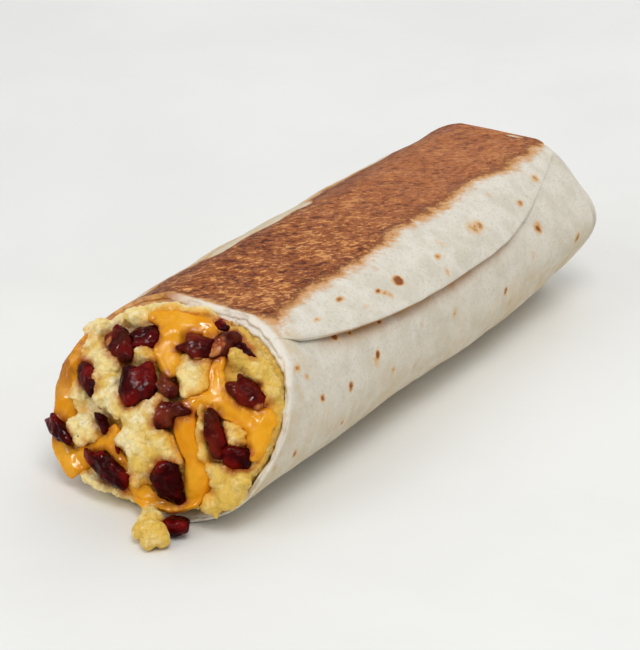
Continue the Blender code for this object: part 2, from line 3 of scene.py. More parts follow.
import bpy
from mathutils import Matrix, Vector, noise
from mathutils.bvhtree import BVHTree


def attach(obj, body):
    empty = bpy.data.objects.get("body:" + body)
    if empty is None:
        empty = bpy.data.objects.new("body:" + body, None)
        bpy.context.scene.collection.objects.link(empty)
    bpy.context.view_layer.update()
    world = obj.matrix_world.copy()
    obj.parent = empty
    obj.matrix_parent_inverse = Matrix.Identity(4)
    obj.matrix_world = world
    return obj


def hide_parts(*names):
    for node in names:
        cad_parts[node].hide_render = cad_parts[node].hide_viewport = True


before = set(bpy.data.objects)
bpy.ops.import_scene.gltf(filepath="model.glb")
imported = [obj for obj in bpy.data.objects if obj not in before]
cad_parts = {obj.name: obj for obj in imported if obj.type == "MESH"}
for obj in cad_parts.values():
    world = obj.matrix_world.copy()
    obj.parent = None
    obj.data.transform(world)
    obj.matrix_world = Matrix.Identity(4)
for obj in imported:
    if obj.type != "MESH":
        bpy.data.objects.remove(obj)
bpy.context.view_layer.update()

mm = 0.001
print("frame loaded")


# hand tools

def ease(value):
    value = min(max(value, 0.0), 1.0)
    return value * value * (3 - 2 * value)


def signedPower(value, power):
    return math.copysign(abs(value) ** power, value)


def readTable(table, share):
    for (low, first), (high, last) in zip(table, table[1:]):
        if share <= high:
            return first + (last - first) * max(0, share - low) / (high - low)
    return table[-1][1]


def pickOnly(piece):
    bpy.ops.object.select_all(action="DESELECT")
    piece.select_set(True)
    bpy.context.view_layer.objects.active = piece


def finishWith(piece, kind, **settings):
    pickOnly(piece)
    step = piece.modifiers.new(kind.lower(), kind)
    for name, value in settings.items():
        setattr(step, name, value)
    bpy.ops.object.modifier_apply(modifier=step.name)


def mergeDoubles(piece, distance):
    pickOnly(piece)
    bpy.ops.object.mode_set(mode="EDIT")
    bpy.ops.mesh.select_all(action="SELECT")
    bpy.ops.mesh.remove_doubles(threshold=distance)
    bpy.ops.object.mode_set(mode="OBJECT")


def copyOfNode(nodeName, pieceName):
    # a merged copy with its own mesh, which stands for the CAD node
    piece = bpy.data.objects.new(pieceName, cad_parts[nodeName].data.copy())
    piece.data.materials.clear()
    bpy.context.scene.collection.objects.link(piece)
    mergeDoubles(piece, 0.002 * mm)
    bpy.ops.mesh.customdata_custom_splitnormals_clear()
    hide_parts(nodeName)
    return piece


def moveOut(piece, amount):
    # moves every vertex along its normal by what amount gives for its place and normal
    moves = [(v, v.normal * amount(v.co, v.normal)) for v in piece.data.vertices]
    for vert, move in moves:
        vert.co += move
    piece.data.update()


def dress(piece, finish):
    pickOnly(piece)
    bpy.ops.object.shade_smooth()
    piece.data.materials.clear()
    piece.data.materials.append(finish)
    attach(piece, "root")


# node tools

def joined(tree, value, socket):
    if hasattr(value, "is_linked"):
        tree.links.new(value, socket)
    elif value is not None:
        socket.default_value = value


def maths(tree, operation, first, second=None):
    node = tree.nodes.new("ShaderNodeMath")
    node.operation = operation
    joined(tree, first, node.inputs[0])
    joined(tree, second, node.inputs[1])
    return node.outputs[0]


def spread(tree, value, low, high, toLow=0.0, toHigh=1.0):
    node = tree.nodes.new("ShaderNodeMapRange")
    node.interpolation_type = "SMOOTHSTEP"
    for place, setting in enumerate((value, low, high, toLow, toHigh)):
        joined(tree, setting, node.inputs[place])
    return node.outputs[0]


def blendColours(tree, mask, first, second):
    node = tree.nodes.new("ShaderNodeMix")
    node.data_type = "RGBA"
    joined(tree, mask, node.inputs[0])
    joined(tree, first, node.inputs[6])
    joined(tree, second, node.inputs[7])
    return node.outputs[2]


def cloudy(tree, place, scale, detail=3.0, roughness=0.5, distortion=0.0):
    node = tree.nodes.new("ShaderNodeTexNoise")
    joined(tree, place, node.inputs["Vector"])
    joined(tree, scale, node.inputs["Scale"])
    node.inputs["Detail"].default_value = detail
    node.inputs["Roughness"].default_value = roughness
    node.inputs["Distortion"].default_value = distortion
    return node.outputs["Fac"]


def stretched(tree, place, turn, scale):
    # a pattern drawn out by scale along the turned axes
    node = tree.nodes.new("ShaderNodeMapping")
    node.vector_type = "TEXTURE"
    joined(tree, place, node.inputs["Vector"])
    node.inputs["Rotation"].default_value = turn
    node.inputs["Scale"].default_value = scale
    return node.outputs[0]


def marked(tree, name):
    node = tree.nodes.new("ShaderNodeAttribute")
    node.attribute_name = name
    return node.outputs["Fac"]


def objectPlace(tree):
    return tree.nodes.new("ShaderNodeTexCoord").outputs["Object"]


def useGroup(tree, group, **values):
    node = tree.nodes.new("ShaderNodeGroup")
    node.node_tree = group
    for name, value in values.items():
        joined(tree, value, node.inputs[name])
    return node.outputs[0]


def startGroup(name, inputs, output):
    group = bpy.data.node_groups.new(name, "ShaderNodeTree")
    kinds = {"f": "NodeSocketFloat", "v": "NodeSocketVector", "c": "NodeSocketColor"}
    for label, kind in inputs:
        group.interface.new_socket(label, in_out="INPUT", socket_type=kinds[kind])
    group.interface.new_socket(output[0], in_out="OUTPUT", socket_type=kinds[output[1]])
    entry = group.nodes.new("NodeGroupInput")
    leave = group.nodes.new("NodeGroupOutput")
    return group, entry.outputs, leave.inputs[0]


def startFinish(name, roughness, **sockets):
    finish = bpy.data.materials.new(name)
    finish.use_nodes = True
    shader = finish.node_tree.nodes["Principled BSDF"]
    shader.inputs["Roughness"].default_value = roughness
    for label, value in sockets.items():
        shader.inputs[label.replace("_", " ")].default_value = value
    return finish, finish.node_tree, shader


def bumped(tree, shader, height, strength, distance):
    node = tree.nodes.new("ShaderNodeBump")
    node.inputs["Strength"].default_value = strength
    node.inputs["Distance"].default_value = distance
    joined(tree, height, node.inputs["Height"])
    tree.links.new(node.outputs[0], shader.inputs["Normal"])


def display(red, green, blue):
    # a colour read off a screen, 0 to 255, as the shader wants it
    parts = []
    for part in (red, green, blue):
        part /= 255
        parts.append(part / 12.92 if part < 0.04045 else ((part + 0.055) / 1.055) ** 2.4)
    return (*parts, 1)


# soft mottling between two colours
mottle, entry, leave = startGroup(
    "mottle",
    (("Place", "v"), ("Scale", "f"), ("Low", "f"), ("High", "f"), ("Under", "c"), ("Over", "c")),
    ("Color", "c"),
)
patches = cloudy(mottle, entry["Place"], entry["Scale"], 4, 0.55, 0.3)
patches = spread(mottle, patches, entry["Low"], entry["High"])
mottle.links.new(blendColours(mottle, patches, entry["Under"], entry["Over"]), leave)

# bumps at a coarse and a fine size
lumpy, entry, leave = startGroup(
    "lumpy", (("Place", "v"), ("Coarse", "f"), ("Fine", "f"), ("Fine share", "f")), ("Height", "f")
)
coarse = cloudy(lumpy, entry["Place"], entry["Coarse"], 2, 0.5)
fine = cloudy(lumpy, entry["Place"], entry["Fine"], 3, 0.6)
lumpy.links.new(maths(lumpy, "ADD", coarse, maths(lumpy, "MULTIPLY", fine, entry["Fine share"])), leave)

# creases between soft folds: 1 along the crease line
folds, entry, leave = startGroup("folds", (("Place", "v"), ("Scale", "f"), ("Width", "f")), ("Crease", "f"))
swell = cloudy(folds, entry["Place"], entry["Scale"], 2, 0.5, 0.4)
aside = maths(folds, "ABSOLUTE", maths(folds, "SUBTRACT", swell, 0.5))
folds.links.new(spread(folds, aside, 0.0, entry["Width"], 1.0, 0.0), leave)

# roughness that changes between a wet and a dry value
wetness, entry, leave = startGroup(
    "wetness", (("Place", "v"), ("Scale", "f"), ("Wet", "f"), ("Dry", "f")), ("Roughness", "f")
)
film = cloudy(wetness, entry["Place"], entry["Scale"], 3, 0.5)
wetness.links.new(spread(wetness, film, 0.38, 0.62, entry["Wet"], entry["Dry"]), leave)

# small scattered specks
specks, entry, leave = startGroup(
    "specks", (("Place", "v"), ("Scale", "f"), ("Size", "f"), ("Amount", "f")), ("Mask", "f")
)
cells = specks.nodes.new("ShaderNodeTexVoronoi")
specks.links.new(entry["Place"], cells.inputs["Vector"])
specks.links.new(entry["Scale"], cells.inputs["Scale"])
halfSize = maths(specks, "MULTIPLY", entry["Size"], 0.5)
nearCentre = spread(specks, cells.outputs["Distance"], halfSize, entry["Size"], 1.0, 0.0)
lot = specks.nodes.new("ShaderNodeSeparateColor")
specks.links.new(cells.outputs["Color"], lot.inputs[0])
chosen = maths(specks, "LESS_THAN", lot.outputs[0], entry["Amount"])
specks.links.new(maths(specks, "MULTIPLY", nearCentre, chosen), leave)
print("shared node groups ready")


# the rolled and grilled tortilla

roll = {
    "length": 168 * mm,
    "height": 42 * mm,
    "sheet": 1.8 * mm,
    "halfWidth": 33.3 * mm,
    "halfHeight": 22.5 * mm,
    "roundness": 2.25,
    "front": -84 * mm,
    "mouthLean": 0.69,
    "lipRecess": 2 * mm,
    "lipRecessBelow": 10 * mm,
    "lipReach": 0.15,
    "notch": 3.5 * mm,
    "notchAt": -7 * mm,
    "notchWidth": 9 * mm,
    "pinch": 1.3 * mm,
    "flapTurns": (
        (0.0, 52), (0.07, 44.7), (0.13, 40), (0.22, 34.2), (0.31, 30), (0.43, 26.2), (0.5, 25.2),
        (0.65, 25), (0.71, 27), (0.78, 32), (0.83, 37.5), (0.88, 43.5), (0.94, 52), (1.0, 64),
    ),
    # the skin before the tucked end reads flapTurns only up to this share
    "flapShare": 0.946,
    "flapLift": 1.2 * mm,
    "flapLiftAt": 0.38,
    "flapLiftLength": 0.16,
    "flapLiftReach": 0.07,
    # how flat the free edge is pressed beside the mouth and at the tucked end
    "pressedAtMouth": 0.96,
    "pressedAtEnd": 0.75,
    "crevice": 0.4 * mm,
    "creviceReach": 7,
    # the lower sheet is shaded beside the free edge: way round the roll, and reach of the shade
    "wayRound": 176 * mm,
    "shadeReach": 3.3 * mm,
    # broad waves, and slack ripples that are weaker on the pressed top and base
    "wave": 0.6 * mm,
    "waveSize": 17 * mm,
    "slack": 0.3 * mm,
    "slackPressed": 0.06 * mm,
    "rippleSize": 8 * mm,
    "fineRippleSize": 3 * mm,
    "topDip": 0.35 * mm,
    "topDipSize": 12 * mm,
    "endRound": 4.5 * mm,
    "endRoundBelow": 9 * mm,
    "endTaper": 0.13,
    "endTaperFrom": 0.76,
    "gatherAt": 0.48,
    "noseAt": 0.55,
    "endBelly": 4 * mm,
    "endDimple": 1.5 * mm,
    "columns": 270,
    "skinRows": 205,
    "innerRows": 12,
    "innerReach": 0.945,
    # rows lie closer together near the mouth
    "rowPower": 1.08,
    "ragged": 1.0 * mm,
    # size and strength of the tears in the rim
    "tears": ((5 * mm, 1), (1.9 * mm, 0.6), (1 * mm, 0.4)),
    "slit": 0.5 * mm,
    # creases of the tucked end, swirled towards its middle: angle, width in degrees, depth
    "tuckSwirl": 26,
    "tucks": ((35, 9, 1.1), (98, 7, 0.8), (150, 11, 1.3), (212, 8, 0.9), (262, 10, 1.2), (318, 7, 0.8)),
}

# what the grill left on the tortilla, in mm
grill = {
    # right and left edge of the browned patch on the pressed top, as (y, x)
    "right": (
        (-58, 19.0), (-53, 19.6), (-47.5, 16.2), (-33.5, 15.5), (-15.5, 16.4), (2.5, 15.1), (7.5, 13.3),
        (23.5, 14.6), (44.5, 13.3), (60.5, 14.9), (74.5, 14.3), (90, 13.5),
    ),
    "left": (
        (-60, -21.5), (-52.5, -20.5), (-38, -20.0), (-30, -18.4), (0, -18.4), (27.5, -19.6), (43.5, -20.6),
        (77.5, -22), (90, -22),
    ),
    "patchFloor": 26,
    # places in the patch that stayed pale: x, y, half width, half length
    "bare": (
        (5.5, 78.8, 3.6, 1.1), (-17.2, -21, 1.4, 6), (-18.4, -2, 2.5, 7.5), (-18.4, 11.5, 2.5, 3),
        (-21, 52, 2, 5),
    ),
    "bareDepth": 13,
    # toast spots: x, y, z, half length along y, half breadth, strength
    "spots": (
        (25.6, -10.7, 37.1, 1.8, 1.4, 0.82), (25.2, -19.4, 37.4, 1.3, 0.7, 0.6),
        (26.3, -18.0, 36.8, 1.6, 0.8, 0.44), (27.3, -17.1, 36.0, 1.1, 1.3, 0.4),
        (21.9, -30.8, 39.0, 1.5, 0.9, 0.56), (23.3, -42.8, 38.5, 1.7, 0.8, 0.36),
        (26.6, -26.6, 36.7, 1.2, 0.8, 0.26), (24.4, 27.8, 37.4, 3.4, 2.2, 0.36),
        (25.0, 29.4, 37.1, 2.0, 1.2, 0.42), (26.1, 7.0, 37.1, 1.4, 0.9, 0.44),
        (23.6, 12.0, 38.3, 1.0, 1.8, 0.28), (29.4, 6.4, 33.7, 0.8, 1.5, 0.4),
        (25.0, 49.9, 36.4, 1.5, 1.0, 0.48), (21.5, 63.9, 37.9, 1.7, 1.6, 0.38),
        (29.0, 52.7, 29.3, 1.6, 1.6, 0.6), (31.5, 31.9, 19.7, 0.9, 1.2, 0.6),
        (31.4, -28.6, 26.0, 0.7, 1.0, 0.95), (31.4, -29.7, 24.5, 1.1, 1.4, 0.42),
        (31.4, -40.8, 22.4, 0.9, 1.3, 0.68), (31.2, -52.3, 24.2, 0.8, 1.0, 0.62),
        (31.3, -22.0, 19.1, 1.2, 1.3, 0.34), (31.2, 6.9, 23.1, 1.3, 1.3, 0.34),
        (27.9, -58.0, 33.4, 1.5, 1.0, 0.36), (29.1, -55.7, 30.6, 1.1, 1.1, 0.33),
        (31.7, 69.5, 20.8, 1.5, 1.9, 0.48), (30.1, -42.6, 13.6, 0.7, 1.1, 0.5),
        (30.6, -63.3, 14.5, 0.9, 1.1, 0.6), (29.5, 20.0, 14.0, 1.2, 1.0, 0.3),
        (31.0, 47.0, 24.0, 1.0, 1.4, 0.28), (28.8, 0.5, 10.0, 1.0, 1.0, 0.35),
    ),
    # spots just under the free edge: share of the length, half length, half breadth, strength
    "edgeSpots": (
        (0.202, 1.1, 0.9, 0.8), (0.252, 1.1, 1.2, 0.5), (0.34, 1.2, 0.8, 0.9), (0.45, 6.0, 1.0, 0.3),
    ),
    # spots scattered over the sides that the mouth view doesn't show, and over the tucked end
    "hiddenSpots": 46,
    "endSpots": 9,
}


def seamDepth(share, roundShare):
    # the step under the free edge, 1 where it isn't pressed flat
    atMouth = roll["pressedAtMouth"] * (1 - ease((share - 0.02) / 0.09))
    atEnd = roll["pressedAtEnd"] * ease((share - 0.82) / 0.1)
    return 1 - max(atMouth, atEnd) * math.exp(-(((1 - roundShare) / 0.07) ** 2))


def lapInset(roundShare, share):
    return roll["sheet"] * ease((roundShare - 0.04) / 0.36) * seamDepth(share, roundShare)


def flapLift(share, roundShare):
    near = math.exp(-(((share - roll["flapLiftAt"]) / roll["flapLiftLength"]) ** 2))
    return roll["flapLift"] * near * max(0.0, 1 - roundShare / roll["flapLiftReach"])


def mouthShift(x, z, share):
    # how far the lean of the mouth and its lower lip, with a notch in it, move a place along the roll
    notch = roll["notch"] * math.exp(-(((x - roll["notchAt"]) / roll["notchWidth"]) ** 2))
    recess = (roll["lipRecess"] + notch) * max(0.0, 1 - z / roll["lipRecessBelow"])
    return roll["mouthLean"] * (1 - share) ** 3 * z + recess * (1 - ease(share / roll["lipReach"]))


def endTaper(share, z):
    away = 1 - math.exp(-(((z / roll["height"] - roll["noseAt"]) / 0.2) ** 2))
    tapering = ease((share - roll["endTaperFrom"]) / (1 - roll["endTaperFrom"]))
    return 1 - roll["endTaper"] * tapering * away


def endRadius(turn):
    top = ease((math.sin(turn) - 0.45) / 0.5)
    return roll["endRoundBelow"] + (roll["endRound"] - roll["endRoundBelow"]) * top


def sectionPoint(turn, share, inset, lapped, y):
    cosine, sine = math.cos(turn), math.sin(turn)
    halfWidth = roll["halfWidth"] - inset - lapped
    halfHeight = roll["halfHeight"] - inset - (lapped if sine > 0 else 0)
    z = roll["height"] / 2 + halfHeight * signedPower(sine, 2 / roll["roundness"])
    x = halfWidth * signedPower(cosine, 2 / roll["roundness"]) * endTaper(share, z)
    wave = roll["wave"] * noise.noise(Vector((x, y, z)) / roll["waveSize"])
    x += wave * cosine
    z += wave * sine
    rise = abs(z / roll["height"] - 0.5) * 2
    slack = roll["slack"] * (1 - ease((rise - 0.7) / 0.3)) + roll["slackPressed"]
    coarse = noise.noise(Vector((x, y * 0.6, z)) / roll["rippleSize"])
    ripple = coarse + 0.35 * noise.noise(Vector((x, y, z)) / roll["fineRippleSize"])
    x += slack * ripple * cosine
    z += slack * ripple * sine
    z = min(max(z, inset), roll["height"] - inset)
    dip = roll["topDip"] * ease((z / roll["height"] - 0.9) / 0.1)
    return x, z - dip * (0.5 + noise.noise(Vector((x, y, 0)) / roll["topDipSize"]))


def tuckDepth(turn, radial):
    depth = 0.0
    for angle, width, strength in roll["tucks"]:
        aside = (math.degrees(turn) - angle - roll["tuckSwirl"] * radial + 180) % 360 - 180
        depth += strength * mm * math.exp(-((aside / (width * (0.6 + radial))) ** 2))
    return depth * ease(radial / 0.25) * ease((1.08 - radial) / 0.4)


def skinPoint(turn, share, step, lapped, depth):
    # a place on the skin; step is None along the roll, and counts up to 3 through the tucked end
    if step is None:
        y = roll["front"] + share * (roll["length"] - endRadius(turn))
        pinch = roll["pinch"] * (1 - ease(share / 0.2)) * max(0.0, -math.cos(turn))
        x, z = sectionPoint(turn, share, depth, lapped + pinch, y)
        y += mouthShift(x, z, share)
        shrink, radial = 1.0, 1.1
    else:
        bend, radius = min(step, 1.0) * math.pi / 2, endRadius(turn)
        inward = max(0.0, step - 1)
        deepest = roll["height"] * 0.40
        inset = radius * (1 - math.cos(bend)) + min(inward, 1) * (deepest - radius)
        y = roll["length"] / 2 - radius * (1 - math.sin(bend)) - roll["endDimple"] * inward
        shrink = 1 - max(0.0, inward - 1)
        radial = (1 - 0.55 * min(inward, 1)) * shrink
        x, z = sectionPoint(turn, share, inset + depth * math.cos(bend), lapped * math.cos(bend), y)
        gather = roll["height"] * roll["gatherAt"]
        x, z = x * shrink, gather + (z - gather) * shrink
        y -= (lapped + depth) * math.sin(bend) * shrink + tuckDepth(turn, radial) * math.sin(bend)
    belly = 1 - ((z / roll["height"] - 0.45) / 0.55) ** 2
    return Vector((x, y + ease((share - 0.7) / 0.3) * roll["endBelly"] * belly, z))


# the section of the free edge: in under the flap on the lower sheet, back out along the flap and round
# its edge, as share of the reach, depth under the outline in sheets, and 1 on the flap
flapSection = (
    (0.0, 1.0, 0), (0.35, 1.0, 0), (0.7, 1.0, 0), (1.0, 1.0, 0), (1.0, 1.0, 1), (0.7, 1.0, 1),
    (0.35, 0.98, 1), (0.08, 0.88, 1), (-0.03, 0.66, 1), (-0.06, 0.42, 1), (-0.04, 0.2, 1), (0.0, 0.07, 1),
)


def closedRow(row):
    # a row without the free edge gets as many points in its place, between its last and its first
    last, first = row[-1], row[0]
    extra = len(flapSection)
    return row + [last.lerp(first, (k + 1) / (extra + 1)) for k in range(extra)]


def skinRow(share, step=None):
    start = math.radians(readTable(roll["flapTurns"], share if step else share * roll["flapShare"]))
    tight = min(max(0.0, (step or 0) - 1), 1.0)
    row = []
    for i in range(roll["columns"]):
        roundShare = (i + 0.25) / roll["columns"]
        lapped = lapInset(roundShare, share) - flapLift(share, roundShare)
        row.append(skinPoint(start + math.tau * roundShare, share, step, lapped, 0))
    lift = flapLift(share, 0)
    reach = math.radians(roll["creviceReach"]) * (1 - 0.97 * tight) * seamDepth(share, 1)
    for along, depth, upper in flapSection:
        lapped = roll["sheet"] * depth * seamDepth(share, 1)
        if upper:
            gap = seamDepth(share, 1) if along > 0.05 else 0
            lapped -= roll["crevice"] * gap + lift * (1 if along < 0.7 else 0.5)
        row.append(skinPoint(start + reach * along, share, step, lapped * (1 - 0.6 * tight), 0))
    return row


# the torn rim of the mouth: part of the wall, how far forward in mm, how deep in the slit
rimSection = (
    (0.05, 0.1, 0), (0.12, 0.24, 0), (0.22, 0.3, 0), (0.32, 0.25, 0.2), (0.39, 0.15, 0.9),
    (0.45, 0.1, 1), (0.52, 0.1, 0.25), (0.6, 0.1, 0), (0.72, -0.1, 0), (0.86, -0.6, 0), (0.97, -1.4, 0),
)


def rimRow(part, forward, slit):
    start = math.radians(roll["flapTurns"][0][1])
    row = []
    for i in range(roll["columns"]):
        roundShare = (i + 0.25) / roll["columns"]
        lapped = lapInset(roundShare, 0)
        doubled = 1 - lapped / roll["sheet"]
        point = skinPoint(start + math.tau * roundShare, 0, None, lapped, part * (2 * roll["sheet"] - lapped))
        place = Vector((point.x, 0 if part < 0.42 else 7, point.z))
        torn = sum(strength * noise.noise(place / size) for size, strength in roll["tears"])
        point.y += roll["ragged"] * torn * min(1, part * 8) - forward * mm
        gaping = ease((noise.noise(Vector((point.x, 3, point.z)) / (6 * mm)) + 0.15) / 0.4)
        point.y += roll["slit"] * slit * gaping * max(doubled, 0.1)
        row.append(point)
    return closedRow(row)


def innerRow(share):
    start = math.radians(roll["flapTurns"][0][1])
    row = []
    for i in range(roll["columns"]):
        turn = start + math.tau * (i + 0.25) / roll["columns"]
        x, z = sectionPoint(turn, share, 2 * roll["sheet"], 0, 0)
        z = max(z, roll["sheet"])
        row.append(Vector((x, roll["front"] + share * roll["length"] + mouthShift(x, z, share), z)))
    return closedRow(row)


def patchDepth(x, y, z, rimDistance):
    # how far inside the browned patch a place is, in mm, less than nothing outside it
    if z < grill["patchFloor"] * mm:
        return -20.0
    x, y = x / mm, y / mm
    inside = min(readTable(grill["right"], y) - x, x - readTable(grill["left"], y))
    # a pale strip stays between the rim and the patch
    bare = 0.4 + 1.6 * math.exp(-(((x - 1) / 5) ** 2)) + 3.4 * ease((x - 12) / 7)
    depth = min(inside, rimDistance / mm - bare)
    for bareX, bareY, halfWide, halfLong in grill["bare"]:
        away = ((x - bareX) / halfWide) ** 2 + ((y - bareY) / halfLong) ** 2
        depth -= grill["bareDepth"] * math.exp(-away)
    return depth


def spotLevel(x, y, z, spots):
    level = 0.0
    for sx, sy, sz, halfLength, halfBreadth, strength in spots:
        along = (y / mm - sy) / halfLength
        if abs(along) < 2:
            across = math.hypot(x / mm - sx, z / mm - sz) / halfBreadth
            level = max(level, strength * max(0.0, 1.6 - math.hypot(along, across)))
    return level


def scatterSpots():
    # toast spots on the left side, the base and the tucked end; the uneven factors keep them out of rows
    spots = []
    for k in range(grill["hiddenSpots"]):
        turn = math.radians(140 + 150 * ((k * 0.5698) % 1))
        y = (-70 + 150 * ((k * 0.7549 + 0.2) % 1)) * mm
        share = (y - roll["front"]) / roll["length"]
        place = skinPoint(turn, share, None, roll["sheet"], 0) / mm
        size = 0.8 + 1.5 * ((k * 0.733) % 1)
        spots.append((*place, size, size * 0.8, 0.3 + 0.6 * ((k * 0.457) % 1)))
    for k in range(grill["endSpots"]):
        turn, radial = k * 2.4, 6 + 15 * ((k * 0.618) % 1)
        x, z = 1.3 * radial * math.cos(turn), 20 + 0.8 * radial * math.sin(turn)
        spots.append((x, 86, z, 4, 1.2, 0.35 + 0.4 * ((k * 0.37) % 1)))
    return spots


def rollTortilla():
    # each row with its side, 1 outside and less than nothing in the mouth, and its share of the length
    inward = range(roll["innerRows"], 0, -1)
    rows = [(innerRow(k / roll["innerRows"] * roll["innerReach"]), -1.0, 0) for k in inward]
    rows += [(rimRow(*section), -0.2, 0) for section in reversed(rimSection)]
    for k in range(roll["skinRows"] + 1):
        share = (k / roll["skinRows"]) ** roll["rowPower"]
        rows.append((skinRow(share), 1.0, share))
    # over the rounded end, then inward across it to the gathered point
    steps = [0.15, 0.3, 0.45, 0.6, 0.75, 0.9, 1.0]
    steps += [1 + k / 14 for k in range(1, 15)] + [2 + k / 10 for k in range(1, 11)]
    rows += [(skinRow(1.0, step), 1.0, 1.0) for step in steps]
    innerEnd = sum(rows[0][0], Vector()) / len(rows[0][0])
    rows.insert(0, ([innerEnd] * len(rows[0][0]), -1.0, 0))

    wide, tall = len(rows[0][0]), len(rows)
    bpy.ops.mesh.primitive_grid_add(x_subdivisions=wide, y_subdivisions=tall - 1, size=1)
    piece = bpy.context.object
    piece.name = piece.data.name = "tortillaSkin"
    spots = list(grill["spots"]) + scatterSpots()
    lowSpots = list(spots)
    for share, halfLength, halfBreadth, strength in grill["edgeSpots"]:
        turn = math.radians(readTable(roll["flapTurns"], share * roll["flapShare"]) - 0.6)
        edge = skinPoint(turn, share, None, roll["sheet"], 0)
        lowSpots.append((*(edge / mm), halfLength, halfBreadth, strength))
    fronts = [point.y for point in skinRow(0)]
    levels = {"browning": [], "toast": [], "rim": [], "under": []}
    for vert in piece.data.vertices:
        i, j = round((vert.co.x + 0.5) * wide), round((vert.co.y + 0.5) * (tall - 1))
        points, side, share = rows[j]
        vert.co = points[i % wide]
        x, y, z = vert.co
        rimDistance = y - fronts[i % wide] if side > 0 else side * mm
        levels["browning"].append(patchDepth(x, y, z, rimDistance))
        lower = roll["columns"] / 2 < i % wide < roll["columns"] + 4
        toasted = lowSpots if lower else spots
        levels["toast"].append(spotLevel(x, y, z, toasted) if side > 0 else 0.0)
        levels["rim"].append(rimDistance / mm)
        # the band that the free edge shades, just under it
        below = (1 - (i % wide) / roll["columns"]) * roll["wayRound"]
        gaping = ease((share - 0.1) / 0.12) * (1 - ease((share - 0.62) / 0.25))
        levels["under"].append(0.9 * gaping * math.exp(-((max(below, 0) / roll["shadeReach"]) ** 2)))
    for name, values in levels.items():
        piece.data.attributes.new(name, "FLOAT", "POINT").data.foreach_set("value", values)
    mergeDoubles(piece, 0.001 * mm)
    bpy.ops.object.mode_set(mode="EDIT")
    bpy.ops.mesh.select_all(action="SELECT")
    bpy.ops.mesh.normals_make_consistent(inside=False)
    bpy.ops.object.mode_set(mode="OBJECT")
    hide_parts("tortilla")
    return piece


flour = {
    "cream": display(225, 219, 206),
    "greyCream": display(211, 204, 188),
    "grain": display(190, 176, 150),
    "tan": display(206, 184, 144),
    "shade": display(184, 138, 88),
    "golden": display(206, 146, 80),
    "brown": display(150, 79, 28),
    "darkBrown": display(84, 30, 8),
    "paleBrown": display(220, 154, 88),
    "reddish": display(172, 102, 56),
    "spotGolden": display(218, 172, 112),
    "spotBrown": display(140, 74, 28),
    "rimWhite": display(234, 228, 216),
    "rimStain": display(178, 112, 48),
    "rimGrease": display(212, 156, 84),
}


def plainSheet(tree, place, across, height):
    # cream and grey, tan and painted shade low on the sides, with a fine floury grain
    under, over = flour["cream"], flour["greyCream"]
    cream = useGroup(tree, mottle, Place=place, Scale=150, Low=0.35, High=0.68, Under=under, Over=over)
    grain = spread(tree, cloudy(tree, place, 1300, 3, 0.7), 0.5, 0.68)
    cream = blendColours(tree, maths(tree, "MULTIPLY", grain, 0.45), cream, flour["grain"])
    # painted shade: the sides are painted darker and tan towards the table, in patches; in part a tan tint of
    # the sheet
    low = spread(tree, height, 0.034, 0.008)
    patches = spread(tree, cloudy(tree, place, 85, 5, 0.65, 0.6), 0.42, 0.66, 0.32, 0.9)
    cream = blendColours(tree, maths(tree, "MULTIPLY", patches, low), cream, flour["tan"])
    # the left shoulder, under the grill's edge, is tan as well
    leftSide, raised = spread(tree, across, -0.012, -0.02), spread(tree, height, 0.022, 0.034)
    shoulder = maths(tree, "MULTIPLY", leftSide, raised)
    cream = blendColours(tree, maths(tree, "MULTIPLY", shoulder, 0.7), cream, flour["tan"])
    # grease has crept along the sheet from the mouth
    nearRim = spread(tree, marked(tree, "rim"), 12.0, 1.0)
    greasy = maths(tree, "MULTIPLY", nearRim, spread(tree, cloudy(tree, place, 170, 4, 0.6), 0.42, 0.66))
    cream = blendColours(tree, maths(tree, "MULTIPLY", greasy, 0.6), cream, flour["tan"])
    flecks = useGroup(tree, specks, Place=place, Scale=200, Size=0.3, Amount=0.05)
    return blendColours(tree, maths(tree, "MULTIPLY", flecks, 0.3), cream, flour["golden"])


def grilledSheet(tree, across, along, tone):
    # leathery brown: dark wrinkles, pale flecks, smoother and redder towards the far end
    far = spread(tree, along, -0.03, 0.05)
    base = blendColours(tree, far, flour["brown"], flour["reddish"])
    darkShare = spread(tree, far, 0.0, 1.0, 1.0, 0.62)
    darkened = maths(tree, "MULTIPLY", spread(tree, tone, 0.5, 0.42), darkShare)
    brown = blendColours(tree, darkened, base, flour["darkBrown"])
    paleShare = spread(tree, far, 0.0, 1.0, 1.0, 0.5)
    paled = maths(tree, "MULTIPLY", spread(tree, tone, 0.525, 0.605), paleShare)
    brown = blendColours(tree, paled, brown, flour["paleBrown"])
    shaded = maths(tree, "MULTIPLY", spread(tree, across, -0.008, -0.018), 0.3)
    return blendColours(tree, shaded, brown, flour["darkBrown"])


